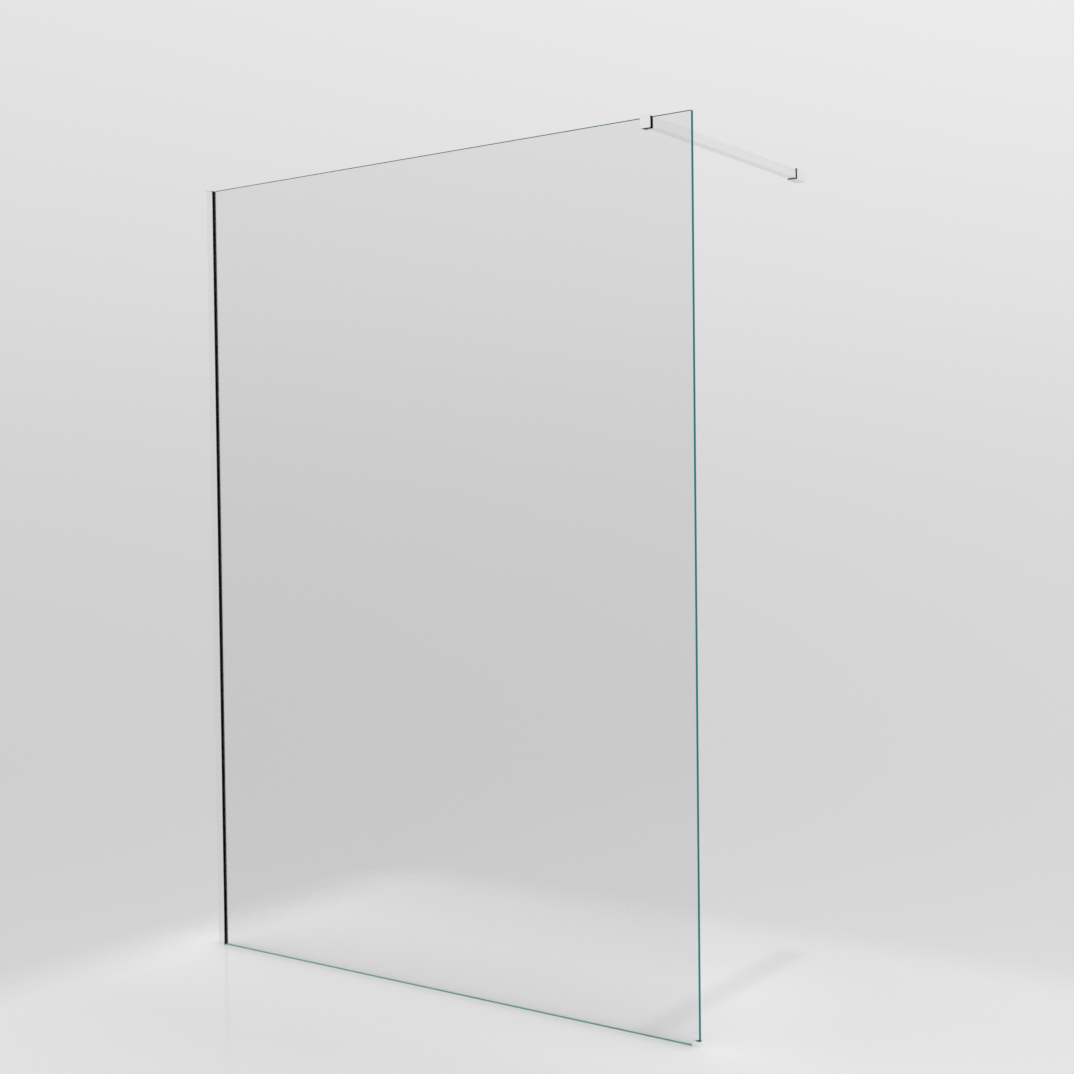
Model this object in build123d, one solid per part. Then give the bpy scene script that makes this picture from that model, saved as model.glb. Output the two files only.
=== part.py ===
from build123d import *
import os

# Walk-in shower screen with a wall channel and a support bar, in millimetres.
# Origin: on the back face of the channel, at its foot, at the middle of the glass thickness.
# +X runs along the glass to its free edge, +Y along the bar to the socket, +Z up.

# The pane
screen_height = 2000.0
screen_width = 1460.0
glass_thickness = 8.0
glass_arris = 0.8
glass_corner_radius = 2.0
floor_gap = 1.2

# The wall channel, an aluminium extrusion
channel_depth = 20.0
channel_web = 2.5
channel_lip = 2.0
channel_edge_radius = 0.8
channel_back_radius = 0.4
channel_glass_gap = 10.0
glass_adjustment = 5.0
barb_height = 0.6
barb_length = 1.8
barb_setback = 5.0
guide_depth = 0.4
wall_screw_radius = 2.5
wall_screw_head_radius = 4.4
wall_screw_head_depth = 1.5
wall_screw_end_distance = 100.0
wall_screw_count = 4

# The glazing seals in the channel
seal_thickness = 4.0
seal_length = 12.0
seal_clearance = 0.1
seal_fin_count = 2
seal_fin_width = 1.0
seal_fin_height = 1.3
seal_fin_flank = 1.0
seal_bead_length = 2.6
barb_clearance = 0.1
barb_relief = 0.4

# The moulded cap and the setting block of the channel
cap_thickness = 1.2
cap_plug_depth = 10.0
cap_edge_radius = 0.4
cap_clearance = 0.1
cap_glass_clearance = 0.3
setting_block_web_gap = 1.5
setting_block_strip_gap = 0.7

# The clear strip under the pane
strip_end_gap = 0.5
strip_side_inset = 0.1
strip_groove_width = 4.0
strip_groove_depth = 0.4

# The shoe at the lower free corner
shoe_cover = 16.0
shoe_height = 13.5
shoe_wall = 2.0
shoe_base = 0.8
shoe_side_liner = 2.0
shoe_end_liner = 1.5
shoe_liner_drop = 2.0
shoe_liner_setback = 4.0
shoe_edge_radius = 0.6

# The clamp on the top edge
clamp_edge_distance = 110.6
clamp_width = 25.0
clamp_grip = 24.0
clamp_front_plate = 2.5
clamp_front_pad = 4.0
clamp_rear_pad = 2.0
clamp_rear_block = 12.0
clamp_bridge = 2.0
clamp_bridge_gap = 1.5
clamp_edge_radius = 0.8
clamp_pad_gap = 0.05
rear_pad_lift = 0.8
plate_thickness = 1.8
plate_width = 21.0
plate_top_margin = 2.0
plate_pocket_gap = 0.2
plate_bevel = 1.6
clamp_screw_spacing = 11.0
clamp_screw_length = 7.0
clamp_screw_overlap = 1.2
screw_recess = 0.3

# Set screws
set_screw_radius = 2.5
set_screw_tip_radius = 0.5
hex_key_size = 2.5
hex_key_depth = 2.0
thread_gap = 0.05

# The support bar, a square tube
bar_reach = 754.0
bar_size = 22.0
bar_wall = 2.0
bar_corner_radius = 0.8
bar_in_socket = 26.0
spigot_length = 30.0
spigot_gap = 0.2
spigot_lead = 1.0
bar_screw_head_radius = 4.5
bar_screw_length = 9.0
bar_screw_gap = 0.1

# The socket at the bar's far end
socket_length = 44.0
socket_bar_gap = 0.5
socket_wall = 2.5
socket_floor = 3.0
socket_edge_radius = 1.0
socket_front_chamfer = 0.35
bush_wall = 1.75
bush_length = 6.0
bush_bar_gap = 0.15
bush_recess = 0.3
bush_fit = 0.1
bush_corner_radius = 0.4
wall_plate_thickness = 10.0
wall_plate_gap = 0.2
wall_plate_head_depth = 3.0
wall_plate_head_radius = 5.0
socket_bar_screw_setback = 9.5
plate_dimple = 1.0

# Rubber pieces stand back from the metal edges by this much
rubber_inset = 0.2

# An edge radius takes at most this share of its wall
edge_share = 0.45

# Cuts run past the faces they open by this much
overrun = 1.0

# Places that follow from the sizes above
glass_face = glass_thickness / 2
channel_inner = glass_face + seal_thickness
channel_outer = channel_inner + channel_lip
barb_start = channel_depth - barb_setback
clamp_x = screen_width - clamp_edge_distance
clamp_bottom = screen_height - clamp_grip
clamp_top = screen_height + clamp_bridge_gap + clamp_bridge
front_plate_back = glass_face + clamp_front_pad
block_front = glass_face + clamp_rear_pad
block_back = block_front + clamp_rear_block
bar_z = clamp_top - bar_size / 2
bar_bottom = bar_z - bar_size / 2
socket_front = bar_reach - socket_length
socket_bore = bar_size + 2 * socket_bar_gap
socket_bottom = bar_z - socket_bore / 2 - socket_floor
bar_end = socket_front + bar_in_socket
shoe_start = screen_width - shoe_cover
shoe_side = glass_face + shoe_side_liner + shoe_wall
shoe_end = screen_width + shoe_end_liner + shoe_wall


def block(x_range, y_range, z_range):
    """A box between three pairs of limits."""
    size = [high - low for low, high in (x_range, y_range, z_range)]
    middle = [(high + low) / 2 for low, high in (x_range, y_range, z_range)]
    return Pos(*middle) * Box(*size)


def upright(outline, low, high):
    """A closed outline in X and Y, raised between two heights."""
    face = make_face(Polyline(*outline, close=True))
    return Pos(0, 0, low) * extrude(face, high - low, dir=(0, 0, 1))


def edges_along(shape, axis, keep):
    """The edges of a shape parallel to an axis whose middle point passes a test."""
    return [edge for edge in shape.edges().filter_by(axis) if keep(edge.center())]


def hex_socket():
    """The space for the hexagon key in the end of a screw."""
    return extrude(RegularPolygon(hex_key_size / 2, 6, major_radius=False), hex_key_depth)


def set_screw(length, tip):
    """A headless screw that points up, with a cone on top where it has a tip."""
    body = Pos(0, 0, length / 2) * Cylinder(set_screw_radius, length)
    if tip > 0:
        body += Pos(0, 0, length + tip / 2) * Cone(set_screw_radius, set_screw_radius - tip, tip)
    return body - hex_socket()


def wall_screw_heights():
    """The heights of the screw holes in the channel, evenly spaced."""
    pitch = (screen_height - 2 * wall_screw_end_distance) / (wall_screw_count - 1)
    return [wall_screw_end_distance + i * pitch for i in range(wall_screw_count)]


def wall_channel():
    """A U section with barbs that hold the seals, a drilling line and countersunk holes."""
    half = [
        (0, 0),
        (0, channel_outer),
        (channel_depth, channel_outer),
        (channel_depth, channel_inner),
        (barb_start + barb_length, channel_inner),
        (barb_start, channel_inner - barb_height),
        (barb_start, channel_inner),
        (channel_web, channel_inner),
        (channel_web, guide_depth),
        (channel_web - guide_depth, 0),
    ]
    side = upright(half, 0, screen_height)
    channel = side + mirror(side, about=Plane.XZ)
    outside = channel_outer - channel_lip / 2
    mouth = edges_along(channel, Axis.Z, lambda p: abs(p.Y) > outside and p.X > channel_web)
    channel = fillet(mouth, min(channel_edge_radius, channel_lip * edge_share))
    back = edges_along(channel, Axis.Z, lambda p: abs(p.Y) > outside and p.X < channel_web / 2)
    channel = fillet(back, min(channel_back_radius, channel_web * edge_share))
    hole = Rot(0, 90, 0) * Cylinder(wall_screw_radius, channel_web + 2 * overrun)
    sink = Rot(0, 90, 0) * Cone(wall_screw_radius, wall_screw_head_radius, wall_screw_head_depth)
    for height in wall_screw_heights():
        channel -= Pos(channel_web / 2, 0, height) * hole
        channel -= Pos(channel_web - wall_screw_head_depth / 2, 0, height) * sink
    return channel


def channel_seal(side):
    """One glazing seal: a body behind the barb, fins against the glass and a bead at the mouth."""
    start = channel_depth - seal_length
    tip = glass_face + seal_clearance
    trough = tip + seal_fin_height
    outline = [
        (start, channel_inner),
        (barb_start - barb_clearance, channel_inner),
        (barb_start - barb_clearance, channel_inner - barb_height - barb_clearance),
        (barb_start + barb_length + barb_relief, channel_inner),
        (channel_depth, channel_inner),
        (channel_depth, tip),
        (channel_depth - seal_bead_length, tip),
    ]
    pitch = (seal_length - seal_bead_length) / seal_fin_count
    for i in range(seal_fin_count):
        fin = channel_depth - seal_bead_length - (i + 1) * pitch
        outline.append((fin + seal_fin_width + seal_fin_flank, trough))
        outline.append((fin + seal_fin_width, tip))
        outline.append((fin, tip))
    outline = [(x, side * y) for x, y in outline]
    return upright(outline, 0, screen_height + cap_thickness)


def channel_top_cap():
    """A moulded cap over the channel's open end, behind the edge of the glass."""
    reach = channel_glass_gap - glass_adjustment - cap_glass_clearance
    cap = block(
        (0, reach),
        (-channel_outer, channel_outer),
        (screen_height, screen_height + cap_thickness),
    )
    rim = cap.edges().group_by(Axis.Z)[-1]
    cap = fillet(rim, min(cap_edge_radius, cap_thickness * edge_share))
    return cap + block(
        (channel_web + cap_clearance, reach),
        (cap_clearance - channel_inner, channel_inner - cap_clearance),
        (screen_height - cap_plug_depth, screen_height),
    )


def setting_block():
    """The block in the foot of the channel that carries the pane's corner."""
    low = channel_web + setting_block_web_gap
    high = channel_depth + strip_end_gap - glass_adjustment - setting_block_strip_gap
    side = glass_face - strip_side_inset
    return block((low, high), (-side, side), (0, floor_gap))


def glass_pane():
    """Toughened glass with rounded free corners and ground arrises."""
    width = screen_width - channel_glass_gap
    height = screen_height - floor_gap
    pane = Pos(channel_glass_gap + width / 2, 0, floor_gap + height / 2) * Box(
        width, glass_thickness, height
    )
    free = edges_along(pane, Axis.Y, lambda p: p.X > screen_width / 2)
    pane = fillet(free, glass_corner_radius)
    faces = pane.faces().sort_by(Axis.Y)
    outline = faces[0].edges() + faces[-1].edges()
    return chamfer(outline, min(glass_arris, glass_thickness * edge_share))


def floor_seal_strip():
    """The clear strip under the pane, with a groove below for the sealant."""
    side = glass_face - strip_side_inset
    strip = block(
        (channel_depth + strip_end_gap, shoe_start - strip_end_gap),
        (-side, side),
        (0, floor_gap),
    )
    groove = block(
        (channel_depth, shoe_start),
        (-strip_groove_width / 2, strip_groove_width / 2),
        (-strip_groove_depth, strip_groove_depth),
    )
    return strip - groove


def floor_shoe():
    """A cast shoe that wraps the pane's lower free corner."""
    shoe = block((shoe_start, shoe_end), (-shoe_side, shoe_side), (0, shoe_height))
    outer = shoe.edges().filter_by(Axis.Z) + shoe.edges().group_by(Axis.Z)[-1]
    shoe = fillet(outer, min(shoe_edge_radius, shoe_wall * edge_share))
    inner = shoe_side - shoe_wall
    return shoe - block(
        (shoe_start - overrun, shoe_end - shoe_wall),
        (-inner, inner),
        (shoe_base, shoe_height + overrun),
    )


def shoe_liner():
    """The black liner between the shoe and the glass, open on top."""
    inner = shoe_side - shoe_wall
    liner = block(
        (shoe_start + shoe_liner_setback, shoe_end - shoe_wall),
        (-inner, inner),
        (shoe_base, shoe_height - shoe_liner_drop),
    )
    return liner - block(
        (shoe_start - overrun, screen_width),
        (-glass_face, glass_face),
        (floor_gap, shoe_height + overrun),
    )


def clamp_screw_places():
    """The X places of the two screws that tighten the clamp."""
    return [clamp_x - clamp_screw_spacing / 2, clamp_x + clamp_screw_spacing / 2]


def clamp_screw_y():
    """The screws overlap the plate's pocket, so their cones bear on its bevel."""
    return block_front + plate_thickness + set_screw_radius - clamp_screw_overlap


def clamp_screw_cone():
    """The height where the screws' cones start."""
    return clamp_bottom + screw_recess + clamp_screw_length


def clamp_body():
    """A fork over the top edge of the glass, with a spigot that carries the bar."""
    half = clamp_width / 2
    fork = block(
        (clamp_x - half, clamp_x + half),
        (-front_plate_back - clamp_front_plate, block_back),
        (clamp_bottom, clamp_top),
    )
    front = fork.edges() - fork.edges().group_by(Axis.Y)[-1]
    fork = fillet(front, min(clamp_edge_radius, clamp_front_plate * edge_share))
    fork -= block(
        (clamp_x - half - overrun, clamp_x + half + overrun),
        (-front_plate_back, block_front),
        (clamp_bottom - overrun, screen_height + clamp_bridge_gap),
    )
    pocket_half = plate_width / 2 + plate_pocket_gap
    fork -= block(
        (clamp_x - pocket_half, clamp_x + pocket_half),
        (block_front - overrun, block_front + plate_thickness),
        (clamp_screw_cone() - 2 * plate_pocket_gap, screen_height - plate_pocket_gap),
    )
    depth = clamp_screw_length + set_screw_radius + screw_recess
    hole = Cylinder(set_screw_radius + thread_gap, depth + overrun)
    for x in clamp_screw_places():
        fork -= Pos(x, clamp_screw_y(), clamp_bottom + (depth - overrun) / 2) * hole
    return fork + clamp_spigot()


def clamp_spigot():
    """The square spigot inside the bar, with the tapped hole of the bar's screw."""
    side = bar_size - 2 * bar_wall - 2 * spigot_gap
    spigot = Pos(clamp_x, block_back + spigot_length / 2, bar_z) * Box(side, spigot_length, side)
    end = spigot.edges().group_by(Axis.Y)[-1]
    spigot = chamfer(end, spigot_lead)
    tapped = Cylinder(set_screw_radius + thread_gap, bar_size / 2)
    return spigot - Pos(clamp_x, bar_screw_y(), bar_bottom + bar_size / 4) * tapped


def clamp_pad_front():
    """The thick black pad behind the clamp's front plate."""
    half = clamp_width / 2 - rubber_inset
    return block(
        (clamp_x - half, clamp_x + half),
        (-front_plate_back, -glass_face - clamp_pad_gap),
        (clamp_bottom + rubber_inset, screen_height + clamp_bridge_gap - rubber_inset),
    )


def clamp_pad_rear():
    """The thin black pad that the pressure plate bears on."""
    half = clamp_width / 2 - rubber_inset
    return block(
        (clamp_x - half, clamp_x + half),
        (glass_face + clamp_pad_gap, block_front),
        (clamp_bottom + rear_pad_lift, screen_height + clamp_bridge_gap - rubber_inset),
    )


def clamp_pressure_plate():
    """A steel plate in the block's pocket; the screws wedge its bevel towards the glass."""
    half = plate_width / 2
    low = clamp_screw_cone() - plate_pocket_gap
    plate = block(
        (clamp_x - half, clamp_x + half),
        (block_front, block_front + plate_thickness),
        (low, screen_height - plate_top_margin),
    )
    lower = plate.edges().group_by(Axis.Z)[0].filter_by(Axis.X).sort_by(Axis.Y)[-1]
    return chamfer(lower, min(plate_bevel, plate_thickness * 0.9))


def clamp_set_screws():
    """Two cone-point screws, driven from below."""
    screw = set_screw(clamp_screw_length, set_screw_radius - set_screw_tip_radius)
    z = clamp_bottom + screw_recess
    return [Pos(x, clamp_screw_y(), z) * screw for x in clamp_screw_places()]


def bar_screw_y():
    """The bar's screw sits at the middle of the spigot."""
    return block_back + spigot_length / 2


def bar_screw_head(gap):
    """The countersunk head in the bar's lower wall, or with a gap the hole for it."""
    head = Cone(bar_screw_head_radius + gap, set_screw_radius + gap, bar_wall)
    return Pos(clamp_x, bar_screw_y(), bar_bottom + bar_wall / 2) * head


def square_tube(outer, inner, start, end, radius):
    """A square tube along Y round the bar's line, with rounded outer edges."""
    middle = (start + end) / 2
    tube = Pos(clamp_x, middle, bar_z) * Box(outer, end - start, outer)
    tube = fillet(tube.edges().filter_by(Axis.Y), radius)
    return tube - Pos(clamp_x, middle, bar_z) * Box(inner, end - start + 2 * overrun, inner)


def support_bar():
    """The square tube from the clamp to the socket."""
    radius = min(bar_corner_radius, bar_wall * edge_share)
    tube = square_tube(bar_size, bar_size - 2 * bar_wall, block_back, bar_end, radius)
    return tube - bar_screw_head(bar_screw_gap)


def bar_fixing_screw():
    """The countersunk screw under the bar, with a hexagon socket."""
    shank = Cylinder(set_screw_radius, bar_screw_length - bar_wall)
    middle = bar_bottom + (bar_wall + bar_screw_length) / 2
    screw = bar_screw_head(0) + Pos(clamp_x, bar_screw_y(), middle) * shank
    return screw - Pos(clamp_x, bar_screw_y(), bar_bottom) * hex_socket()


def socket_screw_places():
    """The Y places of the screws that grip the bar and the wall plate."""
    return [
        socket_front + socket_bar_screw_setback,
        bar_reach - wall_plate_thickness / 2,
    ]


def wall_socket():
    """The socket over the bar's end and the wall plate, thicker below for its screws."""
    middle = bar_reach - socket_length / 2
    width = socket_bore + 2 * socket_wall
    height = socket_bore + socket_wall + socket_floor
    socket = Pos(clamp_x, middle, socket_bottom + height / 2) * Box(width, socket_length, height)
    radius = min(socket_edge_radius, socket_wall * edge_share)
    socket = fillet(socket.edges().filter_by(Axis.Y), radius)
    front = socket.faces().sort_by(Axis.Y)[0].outer_wire().edges()
    socket = chamfer(front, socket_front_chamfer)
    bore = Box(socket_bore, socket_length + 2 * overrun, socket_bore)
    socket -= Pos(clamp_x, middle, bar_z) * bore
    seat = bar_size + 2 * (bush_bar_gap + bush_wall) + bush_fit
    socket -= Pos(clamp_x, socket_front + (bush_length - overrun) / 2, bar_z) * Box(
        seat, bush_length + overrun, seat
    )
    hole = Cylinder(set_screw_radius + thread_gap, socket_floor + 2 * overrun)
    for y in socket_screw_places():
        socket -= Pos(clamp_x, y, socket_bottom + socket_floor / 2) * hole
    return socket


def socket_bush():
    """The black guide bush in the socket's mouth."""
    inner = bar_size + 2 * bush_bar_gap
    return square_tube(
        inner + 2 * bush_wall,
        inner,
        socket_front + bush_recess,
        socket_front + bush_length,
        bush_corner_radius,
    )


def wall_plate():
    """The plate inside the socket, with a countersunk hole and a dimple below."""
    side = socket_bore - 2 * wall_plate_gap
    middle = bar_reach - wall_plate_thickness / 2
    plate = Pos(clamp_x, middle, bar_z) * Box(side, wall_plate_thickness, side)
    hole = Rot(90, 0, 0) * Cylinder(wall_screw_radius, wall_plate_thickness + 2 * overrun)
    sink = Rot(90, 0, 0) * Cone(wall_screw_radius, wall_plate_head_radius, wall_plate_head_depth)
    plate -= Pos(clamp_x, middle, bar_z) * hole
    plate -= Pos(clamp_x, middle + (wall_plate_head_depth - wall_plate_thickness) / 2, bar_z) * sink
    dimple = Cylinder(set_screw_radius + thread_gap, 2 * plate_dimple)
    return plate - Pos(clamp_x, middle, bar_z - side / 2) * dimple


def socket_set_screws():
    """Two screws from below: one grips the bar, the other the wall plate."""
    low = socket_bottom + screw_recess
    reaches = [
        bar_bottom - thread_gap - low,
        socket_bottom + socket_floor + wall_plate_gap + plate_dimple - thread_gap - low,
    ]
    return [
        Pos(clamp_x, y, low) * set_screw(reach, 0)
        for y, reach in zip(socket_screw_places(), reaches)
    ]


pieces = {
    "wall_channel": wall_channel(),
    "channel_seal_front": channel_seal(-1),
    "channel_seal_rear": channel_seal(1),
    "channel_top_cap": channel_top_cap(),
    "setting_block": setting_block(),
    "glass_pane": glass_pane(),
    "floor_seal_strip": floor_seal_strip(),
    "floor_shoe": floor_shoe(),
    "shoe_liner": shoe_liner(),
    "clamp_body": clamp_body(),
    "clamp_pad_front": clamp_pad_front(),
    "clamp_pad_rear": clamp_pad_rear(),
    "clamp_pressure_plate": clamp_pressure_plate(),
    "clamp_set_screws": clamp_set_screws(),
    "support_bar": support_bar(),
    "bar_fixing_screw": bar_fixing_screw(),
    "wall_socket": wall_socket(),
    "socket_bush": socket_bush(),
    "wall_plate": wall_plate(),
    "socket_set_screws": socket_set_screws(),
}

os.makedirs("parts", exist_ok=True)
for name, piece in pieces.items():
    solids = piece if isinstance(piece, list) else [piece]
    export_step(Compound(label=name, children=solids), f"parts/{name}.step")
    print(name, "written")
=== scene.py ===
# Walk-in shower screen: finishes, floor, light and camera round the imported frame.
import math

import bmesh
import bpy
from mathutils import Matrix, Vector


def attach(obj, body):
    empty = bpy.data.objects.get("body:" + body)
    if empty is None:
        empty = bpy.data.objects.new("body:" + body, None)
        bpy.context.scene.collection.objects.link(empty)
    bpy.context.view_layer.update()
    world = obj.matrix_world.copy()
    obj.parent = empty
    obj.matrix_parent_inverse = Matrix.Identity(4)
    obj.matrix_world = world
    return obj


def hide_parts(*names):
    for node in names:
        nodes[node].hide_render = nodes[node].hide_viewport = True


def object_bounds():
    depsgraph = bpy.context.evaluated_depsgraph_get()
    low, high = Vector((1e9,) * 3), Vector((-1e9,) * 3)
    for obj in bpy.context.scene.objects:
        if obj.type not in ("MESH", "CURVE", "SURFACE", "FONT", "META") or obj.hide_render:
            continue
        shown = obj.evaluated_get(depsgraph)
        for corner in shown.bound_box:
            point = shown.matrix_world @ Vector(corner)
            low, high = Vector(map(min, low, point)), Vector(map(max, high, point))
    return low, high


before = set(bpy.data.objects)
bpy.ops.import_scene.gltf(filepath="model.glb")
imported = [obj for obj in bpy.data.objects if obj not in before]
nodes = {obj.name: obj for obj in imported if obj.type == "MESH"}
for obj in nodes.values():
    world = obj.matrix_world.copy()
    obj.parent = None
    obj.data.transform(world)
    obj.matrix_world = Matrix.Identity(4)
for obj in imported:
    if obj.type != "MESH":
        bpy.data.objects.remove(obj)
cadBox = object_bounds()
print("frame loaded:", len(nodes), "nodes")

mm = 0.001  # metres in a millimetre
noiseSpan = (0.3, 0.7)  # nearly all of a noise pattern's values lie between these
waveCrest = 0.314  # from one crest of a wave pattern to the next, at scale 1


def toLinear(hexColour):
    # sRGB hex to the linear colour that the shaders take
    channels = [int(hexColour[i:i + 2], 16) / 255 for i in (1, 3, 5)]
    return [c / 12.92 if c <= 0.04045 else ((c + 0.055) / 1.055) ** 2.4 for c in channels] + [1.0]


def addNode(tree, kind, inputs=None, **settings):
    # an input is a value, or an output to link from
    node = tree.nodes.new(kind)
    for name, value in settings.items():
        setattr(node, name, value)
    for name, value in (inputs or {}).items():
        if isinstance(value, bpy.types.NodeSocket):
            tree.links.new(value, node.inputs[name])
        else:
            node.inputs[name].default_value = value
    return node


def newFinish(name):
    finish = bpy.data.materials.new(name)
    finish.use_nodes = True
    finish.node_tree.nodes.clear()
    return finish, finish.node_tree


def closeFinish(tree, shader):
    addNode(tree, "ShaderNodeOutputMaterial", {"Surface": shader.outputs[0]})


def perMetre(sizes):
    # grains of these millimetres, as the scale of a pattern in metres
    return [1 / (size * mm) for size in sizes]


def dress(nodeNames, finish):
    for nodeName in nodeNames:
        mesh = nodes[nodeName].data
        mesh.materials.clear()
        mesh.materials.append(finish)


# The wall channel: aluminium, extruded, polished and anodised, so it is bright with
# a soft gloss that is drawn out in long streaks by the die
wallChannel = {
    "nodes": ["wall_channel"],
    "colour": "#F8F8F8",
    "streakColour": "#F0F0F0",
    "streak": (3.0, 3.0, 420.0),  # mm; wider than real die lines, so that the long streaks show
    "dieLine": (0.35, 0.35, 160.0),  # mm
    "dieLineDepth": 0.01,  # mm
    "roughness": (0.16, 0.25),
}


def anodisedAluminium(look):
    finish, tree = newFinish("anodisedAluminium")
    place = addNode(tree, "ShaderNodeTexCoord")
    streakPlace = addNode(tree, "ShaderNodeMapping", {
        "Vector": place.outputs["Object"], "Scale": perMetre(look["streak"]),
    })
    streak = addNode(tree, "ShaderNodeTexNoise", {
        "Vector": streakPlace.outputs[0], "Scale": 1.0, "Detail": 3.0,
    })
    colour = addNode(tree, "ShaderNodeMix", {
        "Factor": streak.outputs["Fac"],
        "A": toLinear(look["colour"]),
        "B": toLinear(look["streakColour"]),
    }, data_type="RGBA")
    linePlace = addNode(tree, "ShaderNodeMapping", {
        "Vector": place.outputs["Object"], "Scale": perMetre(look["dieLine"]),
    })
    line = addNode(tree, "ShaderNodeTexNoise", {
        "Vector": linePlace.outputs[0], "Scale": 1.0, "Detail": 2.0,
    })
    relief = addNode(tree, "ShaderNodeBump", {
        "Height": line.outputs["Fac"], "Strength": 0.4, "Distance": look["dieLineDepth"] * mm,
    })
    gloss = addNode(tree, "ShaderNodeMapRange", {
        "Value": streak.outputs["Fac"],
        "From Min": noiseSpan[0], "From Max": noiseSpan[1],
        "To Min": look["roughness"][0], "To Max": look["roughness"][1],
    })
    closeFinish(tree, addNode(tree, "ShaderNodeBsdfPrincipled", {
        "Base Color": colour.outputs["Result"],
        "Metallic": 1.0,
        "Roughness": gloss.outputs[0],
        "Normal": relief.outputs[0],
    }))
    return finish


dress(wallChannel["nodes"], anodisedAluminium(wallChannel))
print("wall channel finished")


# Seals, pads, liner and setting block: EPDM rubber, extruded and cut, so a black that gives
# back almost no light, with a faint grey bloom in patches and a skin of fine grain
rubberPieces = {
    "nodes": [
        "channel_seal_front", "channel_seal_rear", "setting_block",
        "shoe_liner", "clamp_pad_front", "clamp_pad_rear",
    ],
    "colour": "#0B0B0C",
    "bloom": "#18191B",
    "bloomPatch": (12.0, 12.0, 90.0),  # mm
    "skinGrain": (0.4, 0.4, 0.9),  # mm
    "grainHeight": 0.02,  # mm
    "roughness": (0.55, 0.72),
    "shine": 0.18,
}


def extrudedRubber(look):
    finish, tree = newFinish("extrudedRubber")
    place = addNode(tree, "ShaderNodeTexCoord")
    patchPlace = addNode(tree, "ShaderNodeMapping", {
        "Vector": place.outputs["Object"], "Scale": perMetre(look["bloomPatch"]),
    })
    patch = addNode(tree, "ShaderNodeTexNoise", {
        "Vector": patchPlace.outputs[0], "Scale": 1.0, "Detail": 4.0,
    })
    colour = addNode(tree, "ShaderNodeMix", {
        "Factor": patch.outputs["Fac"],
        "A": toLinear(look["colour"]),
        "B": toLinear(look["bloom"]),
    }, data_type="RGBA")
    grainPlace = addNode(tree, "ShaderNodeMapping", {
        "Vector": place.outputs["Object"], "Scale": perMetre(look["skinGrain"]),
    })
    grain = addNode(tree, "ShaderNodeTexNoise", {
        "Vector": grainPlace.outputs[0], "Scale": 1.0, "Detail": 2.0,
    })
    relief = addNode(tree, "ShaderNodeBump", {
        "Height": grain.outputs["Fac"], "Strength": 0.5, "Distance": look["grainHeight"] * mm,
    })
    gloss = addNode(tree, "ShaderNodeMapRange", {
        "Value": patch.outputs["Fac"],
        "From Min": noiseSpan[0], "From Max": noiseSpan[1],
        "To Min": look["roughness"][0], "To Max": look["roughness"][1],
    })
    closeFinish(tree, addNode(tree, "ShaderNodeBsdfPrincipled", {
        "Base Color": colour.outputs["Result"],
        "Roughness": gloss.outputs[0],
        "Specular IOR Level": look["shine"],
        "Normal": relief.outputs[0],
    }))
    return finish


dress(rubberPieces["nodes"], extrudedRubber(rubberPieces))
print("rubber pieces finished")


# The channel's top cap: ABS, moulded against a spark-eroded tool, so a pale grey satin
# with a close even stipple
topCap = {
    "nodes": ["channel_top_cap"],
    "colour": "#C4C6C8",
    "flowColour": "#BBBDBF",
    "flowMark": (5.0, 9.0, 3.0),  # mm
    "stipple": (0.3, 0.3, 0.3),  # mm
    "stippleHeight": 0.02,  # mm
    "roughness": 0.42,
    "refraction": 1.53,
}


def mouldedAbs(look):
    finish, tree = newFinish("mouldedAbs")
    place = addNode(tree, "ShaderNodeTexCoord")
    flowPlace = addNode(tree, "ShaderNodeMapping", {
        "Vector": place.outputs["Object"], "Scale": perMetre(look["flowMark"]),
    })
    flow = addNode(tree, "ShaderNodeTexNoise", {
        "Vector": flowPlace.outputs[0], "Scale": 1.0, "Detail": 2.0,
    })
    colour = addNode(tree, "ShaderNodeMix", {
        "Factor": flow.outputs["Fac"],
        "A": toLinear(look["colour"]),
        "B": toLinear(look["flowColour"]),
    }, data_type="RGBA")
    stipplePlace = addNode(tree, "ShaderNodeMapping", {
        "Vector": place.outputs["Object"], "Scale": perMetre(look["stipple"]),
    })
    stipple = addNode(tree, "ShaderNodeTexVoronoi", {
        "Vector": stipplePlace.outputs[0], "Scale": 1.0,
    })
    relief = addNode(tree, "ShaderNodeBump", {
        "Height": stipple.outputs["Distance"], "Strength": 0.4, "Distance": look["stippleHeight"] * mm,
    })
    closeFinish(tree, addNode(tree, "ShaderNodeBsdfPrincipled", {
        "Base Color": colour.outputs["Result"],
        "Roughness": look["roughness"],
        "IOR": look["refraction"],
        "Normal": relief.outputs[0],
    }))
    return finish


dress(topCap["nodes"], mouldedAbs(topCap))
print("top cap finished")


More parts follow.
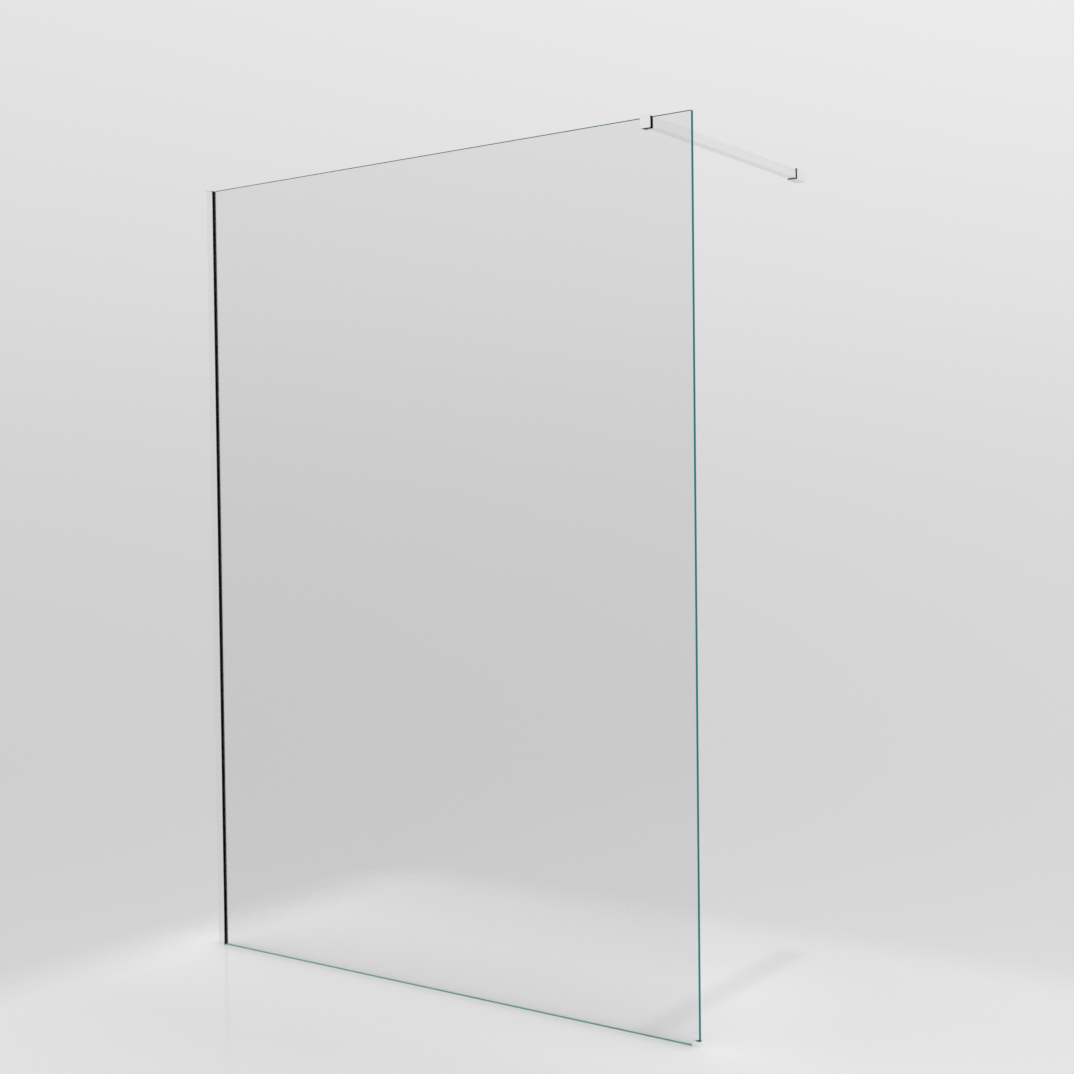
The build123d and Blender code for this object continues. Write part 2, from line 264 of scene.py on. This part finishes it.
# The pane: float glass, toughened over rollers, so clear with a faint green cast and a slow
# ripple in what it reflects; its edges are polished, which shows the green of the glass in
# depth, with darker streaks of painted reflection along them, while the narrow arris between
# edge and face and the whole foot edge are only ground, so they are matt, and the foot edge is
# pale, partly as ground glass and partly as painted light for the light it takes from the strip and
# floor
pane = {
    "node": "glass_pane",
    "body": "pane",
    "slot": "toughened_glass",
    "tint": "#F3F3F3",
    "refraction": 1.52,
    "edgeColour": "#0A9C97",
    "paintedEdgeReflectionColour": "#047672",
    "paintedEdgeReflection": (700.0, 1.6, 700.0),  # mm; painted reflection: darker streaks that stand for reflections inside the glass run along the edge
    "edgeRoughness": 0.08,
    "edgeShine": 0.03,
    "arrisColour": "#077F79",
    # painted light: the foot edge is paler partly as ground glass and partly to stand in for the light
    # it takes from the strip and floor
    "paintedLightFootColour": "#7CF2DE",
    "groundRoughness": 0.4,
    "grit": (0.15, 0.15, 0.15),  # mm
    "gritHeight": 0.02,  # mm
    "rollerPitch": 260.0,  # mm between two crests of the ripple
    "rollerDepth": 0.03,  # mm
    "faceTurn": 0.98,  # least share of a face's normal across the pane
    "edgeTurn": 0.15,  # largest share of an edge's normal across the pane
    "footTurn": 0.5,  # least share of the foot's normal straight down
    "weld": 0.001,  # mm; corners that lie closer than this are one
}


def floatGlass(look):
    finish, tree = newFinish("floatGlass")
    place = addNode(tree, "ShaderNodeTexCoord")
    ripple = addNode(tree, "ShaderNodeTexWave", {
        "Vector": place.outputs["Object"],
        "Scale": waveCrest / (look["rollerPitch"] * mm),
        "Distortion": 1.5,
        "Detail": 1.0,
        "Detail Scale": 0.6,
    }, bands_direction="Z")
    relief = addNode(tree, "ShaderNodeBump", {
        "Height": ripple.outputs["Fac"], "Strength": 1.0, "Distance": look["rollerDepth"] * mm,
    })
    closeFinish(tree, addNode(tree, "ShaderNodeBsdfPrincipled", {
        "Base Color": toLinear(look["tint"]),
        "Roughness": 0.0,
        "IOR": look["refraction"],
        "Transmission Weight": 1.0,
        "Normal": relief.outputs[0],
    }))
    return finish


def polishedGlassEdge(look):
    finish, tree = newFinish("polishedGlassEdge")
    place = addNode(tree, "ShaderNodeTexCoord")
    bandPlace = addNode(tree, "ShaderNodeMapping", {
        "Vector": place.outputs["Object"], "Scale": perMetre(look["paintedEdgeReflection"]),
    })
    band = addNode(tree, "ShaderNodeTexNoise", {
        "Vector": bandPlace.outputs[0], "Scale": 1.0, "Detail": 2.0,
    })
    # painted reflection: the edge colour streaks darker along the edge, standing in for reflections
    # inside the glass
    colour = addNode(tree, "ShaderNodeMix", {
        "Factor": band.outputs["Fac"],
        "A": toLinear(look["edgeColour"]),
        "B": toLinear(look["paintedEdgeReflectionColour"]),
    }, data_type="RGBA")
    closeFinish(tree, addNode(tree, "ShaderNodeBsdfPrincipled", {
        "Base Color": colour.outputs["Result"],
        "Roughness": look["edgeRoughness"],
        "IOR": look["refraction"],
        "Specular IOR Level": look["edgeShine"],
    }))
    return finish


def groundGlass(look, name, colour):
    finish, tree = newFinish(name)
    place = addNode(tree, "ShaderNodeTexCoord")
    gritPlace = addNode(tree, "ShaderNodeMapping", {
        "Vector": place.outputs["Object"], "Scale": perMetre(look["grit"]),
    })
    grit = addNode(tree, "ShaderNodeTexNoise", {
        "Vector": gritPlace.outputs[0], "Scale": 1.0, "Detail": 3.0,
    })
    relief = addNode(tree, "ShaderNodeBump", {
        "Height": grit.outputs["Fac"], "Strength": 0.5, "Distance": look["gritHeight"] * mm,
    })
    closeFinish(tree, addNode(tree, "ShaderNodeBsdfPrincipled", {
        "Base Color": toLinear(colour),
        "Roughness": look["groundRoughness"],
        "IOR": look["refraction"],
        "Specular IOR Level": look["edgeShine"],
        "Normal": relief.outputs[0],
    }))
    return finish


def makePane(look):
    mesh = bpy.data.meshes.new("glassPane")
    finishes = [
        floatGlass(look),
        polishedGlassEdge(look),
        groundGlass(look, "groundArris", look["arrisColour"]),
        # the foot edge's pale colour is partly painted light
        groundGlass(look, "groundFoot", look["paintedLightFootColour"]),
    ]
    onFace, onEdge, onArris, onFoot = range(len(finishes))
    shape = bmesh.new()
    shape.from_mesh(nodes[look["node"]].data)
    bmesh.ops.remove_doubles(shape, verts=shape.verts, dist=look["weld"] * mm)
    for face in shape.faces:
        turn = abs(face.normal.y)
        if turn > look["faceTurn"]:
            face.material_index = onFace
        elif face.normal.z < -look["footTurn"]:
            face.material_index = onFoot
        elif turn < look["edgeTurn"]:
            face.material_index = onEdge
        else:
            face.material_index = onArris
        face.smooth = False
    shape.to_mesh(mesh)
    shape.free()
    for finish in finishes:
        mesh.materials.append(finish)
    piece = bpy.data.objects.new("glassPane", mesh)
    bpy.context.collection.objects.link(piece)
    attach(piece, look["body"])
    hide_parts(look["node"])


makePane(pane)
print("pane made")


# The strip under the pane: clear PVC, extruded, so see-through but milky with haze; its green
# tint is painted light, standing in for the light it takes from the green glass edge above
floorStrip = {
    "nodes": ["floor_seal_strip"],
    # painted light: the green in this tint stands for light from the glass edge above
    "tint": "#CFF6EA",
    "clearShare": 0.15,
    "roughness": 0.12,
    "refraction": 1.54,
    "dieLine": (300.0, 0.6, 0.6),  # mm
    "dieLineDepth": 0.01,  # mm
}


def clearVinyl(look):
    finish, tree = newFinish("clearVinyl")
    place = addNode(tree, "ShaderNodeTexCoord")
    linePlace = addNode(tree, "ShaderNodeMapping", {
        "Vector": place.outputs["Object"], "Scale": perMetre(look["dieLine"]),
    })
    line = addNode(tree, "ShaderNodeTexNoise", {
        "Vector": linePlace.outputs[0], "Scale": 1.0, "Detail": 2.0,
    })
    relief = addNode(tree, "ShaderNodeBump", {
        "Height": line.outputs["Fac"], "Strength": 0.5, "Distance": look["dieLineDepth"] * mm,
    })
    closeFinish(tree, addNode(tree, "ShaderNodeBsdfPrincipled", {
        "Base Color": toLinear(look["tint"]),
        "Roughness": look["roughness"],
        "IOR": look["refraction"],
        "Transmission Weight": look["clearShare"],
        "Normal": relief.outputs[0],
    }))
    return finish


dress(floorStrip["nodes"], clearVinyl(floorStrip))
print("floor strip finished")


# Shoe, clamp and socket: zinc, cast, polished and chromed, so a clean mirror whose
# reflections waver a little where the casting was buffed
chromedPieces = {
    "nodes": ["floor_shoe", "clamp_body", "wall_socket"],
    "colour": "#F8F8F8",
    "wipeMark": (7.0, 7.0, 7.0),  # mm
    "roughness": (0.03, 0.08),
    "wave": (9.0, 9.0, 9.0),  # mm
    "waveHeight": 0.006,  # mm
}


def brightChrome(look):
    finish, tree = newFinish("brightChrome")
    place = addNode(tree, "ShaderNodeTexCoord")
    markPlace = addNode(tree, "ShaderNodeMapping", {
        "Vector": place.outputs["Object"], "Scale": perMetre(look["wipeMark"]),
    })
    mark = addNode(tree, "ShaderNodeTexNoise", {
        "Vector": markPlace.outputs[0], "Scale": 1.0, "Detail": 5.0,
    })
    gloss = addNode(tree, "ShaderNodeMapRange", {
        "Value": mark.outputs["Fac"],
        "From Min": noiseSpan[0], "From Max": noiseSpan[1],
        "To Min": look["roughness"][0], "To Max": look["roughness"][1],
    })
    wavePlace = addNode(tree, "ShaderNodeMapping", {
        "Vector": place.outputs["Object"], "Scale": perMetre(look["wave"]),
    })
    wave = addNode(tree, "ShaderNodeTexNoise", {
        "Vector": wavePlace.outputs[0], "Scale": 1.0, "Detail": 0.0,
    })
    relief = addNode(tree, "ShaderNodeBump", {
        "Height": wave.outputs["Fac"], "Strength": 1.0, "Distance": look["waveHeight"] * mm,
    })
    closeFinish(tree, addNode(tree, "ShaderNodeBsdfPrincipled", {
        "Base Color": toLinear(look["colour"]),
        "Metallic": 1.0,
        "Roughness": gloss.outputs[0],
        "Normal": relief.outputs[0],
    }))
    return finish


dress(chromedPieces["nodes"], brightChrome(chromedPieces))
print("chromed pieces finished")


# The support bar: steel tube, ground and belt polished along its length, so bright with
# fine lines that draw its reflections out
supportBar = {
    "nodes": ["support_bar"],
    "colour": "#FAFAFA",
    "streakColour": "#F4F4F4",
    "streak": (3.0, 220.0, 3.0),  # mm; wider than real belt lines, so that the streaks show
    "beltLine": (1.0, 120.0, 1.0),  # mm
    "beltLineDepth": 0.003,  # mm
    "roughness": (0.26, 0.32),
}


def polishedTube(look):
    finish, tree = newFinish("polishedTube")
    place = addNode(tree, "ShaderNodeTexCoord")
    streakPlace = addNode(tree, "ShaderNodeMapping", {
        "Vector": place.outputs["Object"], "Scale": perMetre(look["streak"]),
    })
    streak = addNode(tree, "ShaderNodeTexNoise", {
        "Vector": streakPlace.outputs[0], "Scale": 1.0, "Detail": 3.0,
    })
    colour = addNode(tree, "ShaderNodeMix", {
        "Factor": streak.outputs["Fac"],
        "A": toLinear(look["colour"]),
        "B": toLinear(look["streakColour"]),
    }, data_type="RGBA")
    gloss = addNode(tree, "ShaderNodeMapRange", {
        "Value": streak.outputs["Fac"],
        "From Min": noiseSpan[0], "From Max": noiseSpan[1],
        "To Min": look["roughness"][0], "To Max": look["roughness"][1],
    })
    linePlace = addNode(tree, "ShaderNodeMapping", {
        "Vector": place.outputs["Object"], "Scale": perMetre(look["beltLine"]),
    })
    line = addNode(tree, "ShaderNodeTexNoise", {
        "Vector": linePlace.outputs[0], "Scale": 1.0, "Detail": 2.0,
    })
    relief = addNode(tree, "ShaderNodeBump", {
        "Height": line.outputs["Fac"], "Strength": 0.5, "Distance": look["beltLineDepth"] * mm,
    })
    closeFinish(tree, addNode(tree, "ShaderNodeBsdfPrincipled", {
        "Base Color": colour.outputs["Result"],
        "Metallic": 1.0,
        "Roughness": gloss.outputs[0],
        "Normal": relief.outputs[0],
    }))
    return finish


dress(supportBar["nodes"], polishedTube(supportBar))
print("support bar finished")


# Screws and pressure plate: stainless steel, turned or stamped, so greyer than chrome
# with a satin that breaks up small highlights
screws = {
    "nodes": ["clamp_pressure_plate", "clamp_set_screws", "bar_fixing_screw", "socket_set_screws"],
    "colour": "#B7B8B9",
    "toolMark": (0.25, 0.25, 0.25),  # mm
    "markHeight": 0.01,  # mm
    "roughness": (0.22, 0.36),
}


def turnedStainless(look):
    finish, tree = newFinish("turnedStainless")
    place = addNode(tree, "ShaderNodeTexCoord")
    markPlace = addNode(tree, "ShaderNodeMapping", {
        "Vector": place.outputs["Object"], "Scale": perMetre(look["toolMark"]),
    })
    mark = addNode(tree, "ShaderNodeTexNoise", {
        "Vector": markPlace.outputs[0], "Scale": 1.0, "Detail": 2.0,
    })
    gloss = addNode(tree, "ShaderNodeMapRange", {
        "Value": mark.outputs["Fac"],
        "From Min": noiseSpan[0], "From Max": noiseSpan[1],
        "To Min": look["roughness"][0], "To Max": look["roughness"][1],
    })
    relief = addNode(tree, "ShaderNodeBump", {
        "Height": mark.outputs["Fac"], "Strength": 0.5, "Distance": look["markHeight"] * mm,
    })
    closeFinish(tree, addNode(tree, "ShaderNodeBsdfPrincipled", {
        "Base Color": toLinear(look["colour"]),
        "Metallic": 1.0,
        "Roughness": gloss.outputs[0],
        "Normal": relief.outputs[0],
    }))
    return finish


dress(screws["nodes"], turnedStainless(screws))
print("screws finished")


# The bush in the socket: nylon, moulded, so black with a soft waxy gloss
bush = {
    "nodes": ["socket_bush"],
    "colour": "#101011",
    "flowColour": "#161617",
    "flowMark": (4.0, 4.0, 4.0),  # mm
    "roughness": (0.42, 0.55),
    "refraction": 1.53,
    "shine": 0.3,
}


def mouldedNylon(look):
    finish, tree = newFinish("mouldedNylon")
    place = addNode(tree, "ShaderNodeTexCoord")
    flowPlace = addNode(tree, "ShaderNodeMapping", {
        "Vector": place.outputs["Object"], "Scale": perMetre(look["flowMark"]),
    })
    flow = addNode(tree, "ShaderNodeTexNoise", {
        "Vector": flowPlace.outputs[0], "Scale": 1.0, "Detail": 3.0,
    })
    colour = addNode(tree, "ShaderNodeMix", {
        "Factor": flow.outputs["Fac"],
        "A": toLinear(look["colour"]),
        "B": toLinear(look["flowColour"]),
    }, data_type="RGBA")
    gloss = addNode(tree, "ShaderNodeMapRange", {
        "Value": flow.outputs["Fac"],
        "From Min": noiseSpan[0], "From Max": noiseSpan[1],
        "To Min": look["roughness"][0], "To Max": look["roughness"][1],
    })
    closeFinish(tree, addNode(tree, "ShaderNodeBsdfPrincipled", {
        "Base Color": colour.outputs["Result"],
        "Roughness": gloss.outputs[0],
        "IOR": look["refraction"],
        "Specular IOR Level": look["shine"],
    }))
    return finish


dress(bush["nodes"], mouldedNylon(bush))
print("bush finished")


# The wall plate: zinc, cast and tumbled, so a dull grey metal with a fine pebble
wallPlate = {
    "nodes": ["wall_plate"],
    "colour": "#A2A4A6",
    "pebble": (0.5, 0.5, 0.5),  # mm
    "pebbleHeight": 0.03,  # mm
    "roughness": (0.4, 0.56),
}


def tumbledZinc(look):
    finish, tree = newFinish("tumbledZinc")
    place = addNode(tree, "ShaderNodeTexCoord")
    pebblePlace = addNode(tree, "ShaderNodeMapping", {
        "Vector": place.outputs["Object"], "Scale": perMetre(look["pebble"]),
    })
    pebble = addNode(tree, "ShaderNodeTexNoise", {
        "Vector": pebblePlace.outputs[0], "Scale": 1.0, "Detail": 4.0,
    })
    gloss = addNode(tree, "ShaderNodeMapRange", {
        "Value": pebble.outputs["Fac"],
        "From Min": noiseSpan[0], "From Max": noiseSpan[1],
        "To Min": look["roughness"][0], "To Max": look["roughness"][1],
    })
    relief = addNode(tree, "ShaderNodeBump", {
        "Height": pebble.outputs["Fac"], "Strength": 0.6, "Distance": look["pebbleHeight"] * mm,
    })
    closeFinish(tree, addNode(tree, "ShaderNodeBsdfPrincipled", {
        "Base Color": toLinear(look["colour"]),
        "Metallic": 1.0,
        "Roughness": gloss.outputs[0],
        "Normal": relief.outputs[0],
    }))
    return finish


dress(wallPlate["nodes"], tumbledZinc(wallPlate))
print("wall plate finished")


# The floor: a pale sealed screed that ends softly just past the screen's own footprint; along the
# foot of the pane it carries a patch of painted light, a brighter colour that makes up for the light
# the pane keeps off it
floor = {
    "size": (4.0, 4.2),  # m
    "middle": (1.6, -0.95, 0.0),  # m
    "solid": (1.57, 1.65, 0.0),  # m from the middle to where the floor starts to fade
    "fade": 0.35,  # m
    "foot": (0.69, 0.13, 0.0),  # m, the middle of the patch of painted light
    "paintedLightReach": (0.58, 0.16, 0.0),  # m from there to its edges
    "paintedLightFade": 0.5,  # m
    "colour": "#EEEEEE",
    "paintedLightFootColour": "#FAFAFA",
    "roughness": 0.08,
    "shine": 0.02,
}


def paleScreed(look):
    finish, tree = newFinish("paleScreed")
    place = addNode(tree, "ShaderNodeTexCoord")
    zones = [
        ((0.0, 0.0, 0.0), look["solid"], look["fade"]),
        (Vector(look["foot"]) - Vector(look["middle"]), look["paintedLightReach"], look["paintedLightFade"]),
    ]
    shares = []
    for middle, reach, end in zones:
        # how far a point lies outside a rectangle round the middle
        offset = addNode(tree, "ShaderNodeVectorMath", {
            0: place.outputs["Object"], 1: middle,
        }, operation="SUBTRACT")
        size = addNode(tree, "ShaderNodeVectorMath", {0: offset.outputs[0]}, operation="ABSOLUTE")
        excess = addNode(tree, "ShaderNodeVectorMath", {
            0: size.outputs[0], 1: reach,
        }, operation="SUBTRACT")
        outside = addNode(tree, "ShaderNodeVectorMath", {
            0: excess.outputs[0], 1: (0.0, 0.0, 0.0),
        }, operation="MAXIMUM")
        distance = addNode(tree, "ShaderNodeVectorMath", {0: outside.outputs[0]}, operation="LENGTH")
        shares.append(addNode(tree, "ShaderNodeMapRange", {
            "Value": distance.outputs["Value"],
            "From Min": 0.0, "From Max": end, "To Min": 0.0, "To Max": 1.0,
        }, interpolation_type="SMOOTHSTEP"))
    fade, awayFromPaintedLight = shares
    # painted light: the colour is brighter near the pane's foot, making up for the light the pane
    # keeps off the floor
    colour = addNode(tree, "ShaderNodeMix", {
        "Factor": awayFromPaintedLight.outputs[0],
        "A": toLinear(look["paintedLightFootColour"]),
        "B": toLinear(look["colour"]),
    }, data_type="RGBA")
    surface = addNode(tree, "ShaderNodeBsdfPrincipled", {
        "Base Color": colour.outputs["Result"],
        "Roughness": look["roughness"],
        "Specular IOR Level": look["shine"],
    })
    clear = addNode(tree, "ShaderNodeBsdfTransparent")
    closeFinish(tree, addNode(tree, "ShaderNodeMixShader", {
        0: fade.outputs[0],
        1: surface.outputs[0],
        2: clear.outputs[0],
    }))
    return finish


def makeFloor(look):
    mesh = bpy.data.meshes.new("floor")
    shape = bmesh.new()
    bmesh.ops.create_grid(shape, x_segments=1, y_segments=1, size=0.5)
    bmesh.ops.scale(shape, vec=(look["size"][0], look["size"][1], 1.0), verts=shape.verts)
    shape.to_mesh(mesh)
    shape.free()
    mesh.materials.append(paleScreed(look))
    piece = bpy.data.objects.new("floor", mesh)
    piece.location = look["middle"]
    bpy.context.collection.objects.link(piece)


makeFloor(floor)
print("floor made")


# The studio: a pale surround, brighter above and to the right, and one weak lamp straight
# overhead, which gives the bar its faint shadow on the floor
studio = {
    "shades": [  # upward share of a direction, and its colour on the dull side
        (-0.50, "#E2E2E2"),
        (-0.36, "#E0E0E0"),
        (-0.27, "#D0D0D0"),
        (-0.15, "#CDCDCD"),
        (0.00, "#D1D1D1"),
        (0.12, "#D9D9D9"),
        (0.29, "#E4E4E4"),
        (0.38, "#E8E8E8"),
        (0.60, "#CECECE"),
        (0.80, "#CCCCCC"),
    ],
    "dullSide": (-0.985, 0.174, 0.0),
    "turn": (0.44, 0.92),  # share of a direction along the dull side, from bright to dull
    "brightGain": 1.09,
    "lampSpread": 2.7,  # degrees that the lamp covers, seen from the floor
    "lampTilt": 0.9,  # degrees off the upright, towards the channel
    "lampPower": 0.72,  # W per square metre
    "lampHeight": 3.0,  # m
}


def makeSurround(look):
    world = bpy.data.worlds.new("surround")
    bpy.context.scene.world = world
    world.use_nodes = True
    tree = world.node_tree
    tree.nodes.clear()
    direction = addNode(tree, "ShaderNodeTexCoord")
    parts = addNode(tree, "ShaderNodeSeparateXYZ", {0: direction.outputs["Generated"]})
    lowest, highest = look["shades"][0][0], look["shades"][-1][0]
    height = addNode(tree, "ShaderNodeMapRange", {
        "Value": parts.outputs["Z"],
        "From Min": lowest, "From Max": highest, "To Min": 0.0, "To Max": 1.0,
    })
    shade = addNode(tree, "ShaderNodeValToRGB", {"Fac": height.outputs[0]})
    shade.color_ramp.interpolation = "B_SPLINE"
    stops = shade.color_ramp.elements
    while len(stops) < len(look["shades"]):
        stops.new(1.0)
    for stop, (upward, colour) in zip(stops, look["shades"]):
        stop.position = (upward - lowest) / (highest - lowest)
        stop.color = toLinear(colour)
    along = addNode(tree, "ShaderNodeVectorMath", {
        0: direction.outputs["Generated"], 1: look["dullSide"],
    }, operation="DOT_PRODUCT")
    gain = addNode(tree, "ShaderNodeMapRange", {
        "Value": along.outputs["Value"],
        "From Min": look["turn"][0], "From Max": look["turn"][1],
        "To Min": look["brightGain"], "To Max": 1.0,
    })
    light = addNode(tree, "ShaderNodeBackground", {
        "Color": shade.outputs["Color"], "Strength": gain.outputs[0],
    })
    addNode(tree, "ShaderNodeOutputWorld", {"Surface": light.outputs[0]})


def makeLamp(look, centre):
    lamp = bpy.data.lights.new("overhead", "SUN")
    lamp.angle = math.radians(look["lampSpread"])
    lamp.energy = look["lampPower"]
    piece = bpy.data.objects.new("overhead", lamp)
    piece.location = (centre.x, centre.y, look["lampHeight"])
    piece.rotation_euler.y = math.radians(look["lampTilt"])
    bpy.context.collection.objects.link(piece)


makeSurround(studio)
makeLamp(studio, (Vector(cadBox[0]) + Vector(cadBox[1])) / 2)
print("studio lit")


# The camera at the photograph's place and angle
view = {
    "place": (3.1028, -2.9362, 1.1862),  # m
    "turn": 35.0,  # degrees about the upright
    "tilt": 88.525,  # degrees up from straight down
    "roll": -0.648,  # degrees about the line of sight
    "lens": 52.71,  # mm
    "sensor": 36.0,  # mm
    "farEnd": 100.0,  # m
}


def makeCamera(look):
    lens = bpy.data.cameras.new("camera")
    lens.lens = look["lens"]
    lens.sensor_width = look["sensor"]
    lens.clip_end = look["farEnd"]
    piece = bpy.data.objects.new("camera", lens)
    turned = Matrix.Identity(4)
    for axis, angle in (("Z", look["turn"]), ("X", look["tilt"]), ("Z", look["roll"])):
        turned = turned @ Matrix.Rotation(math.radians(angle), 4, axis)
    piece.matrix_world = Matrix.Translation(look["place"]) @ turned
    bpy.context.collection.objects.link(piece)
    bpy.context.scene.camera = piece


makeCamera(view)
bpy.context.scene.view_settings.view_transform = "Standard"
print("camera set")
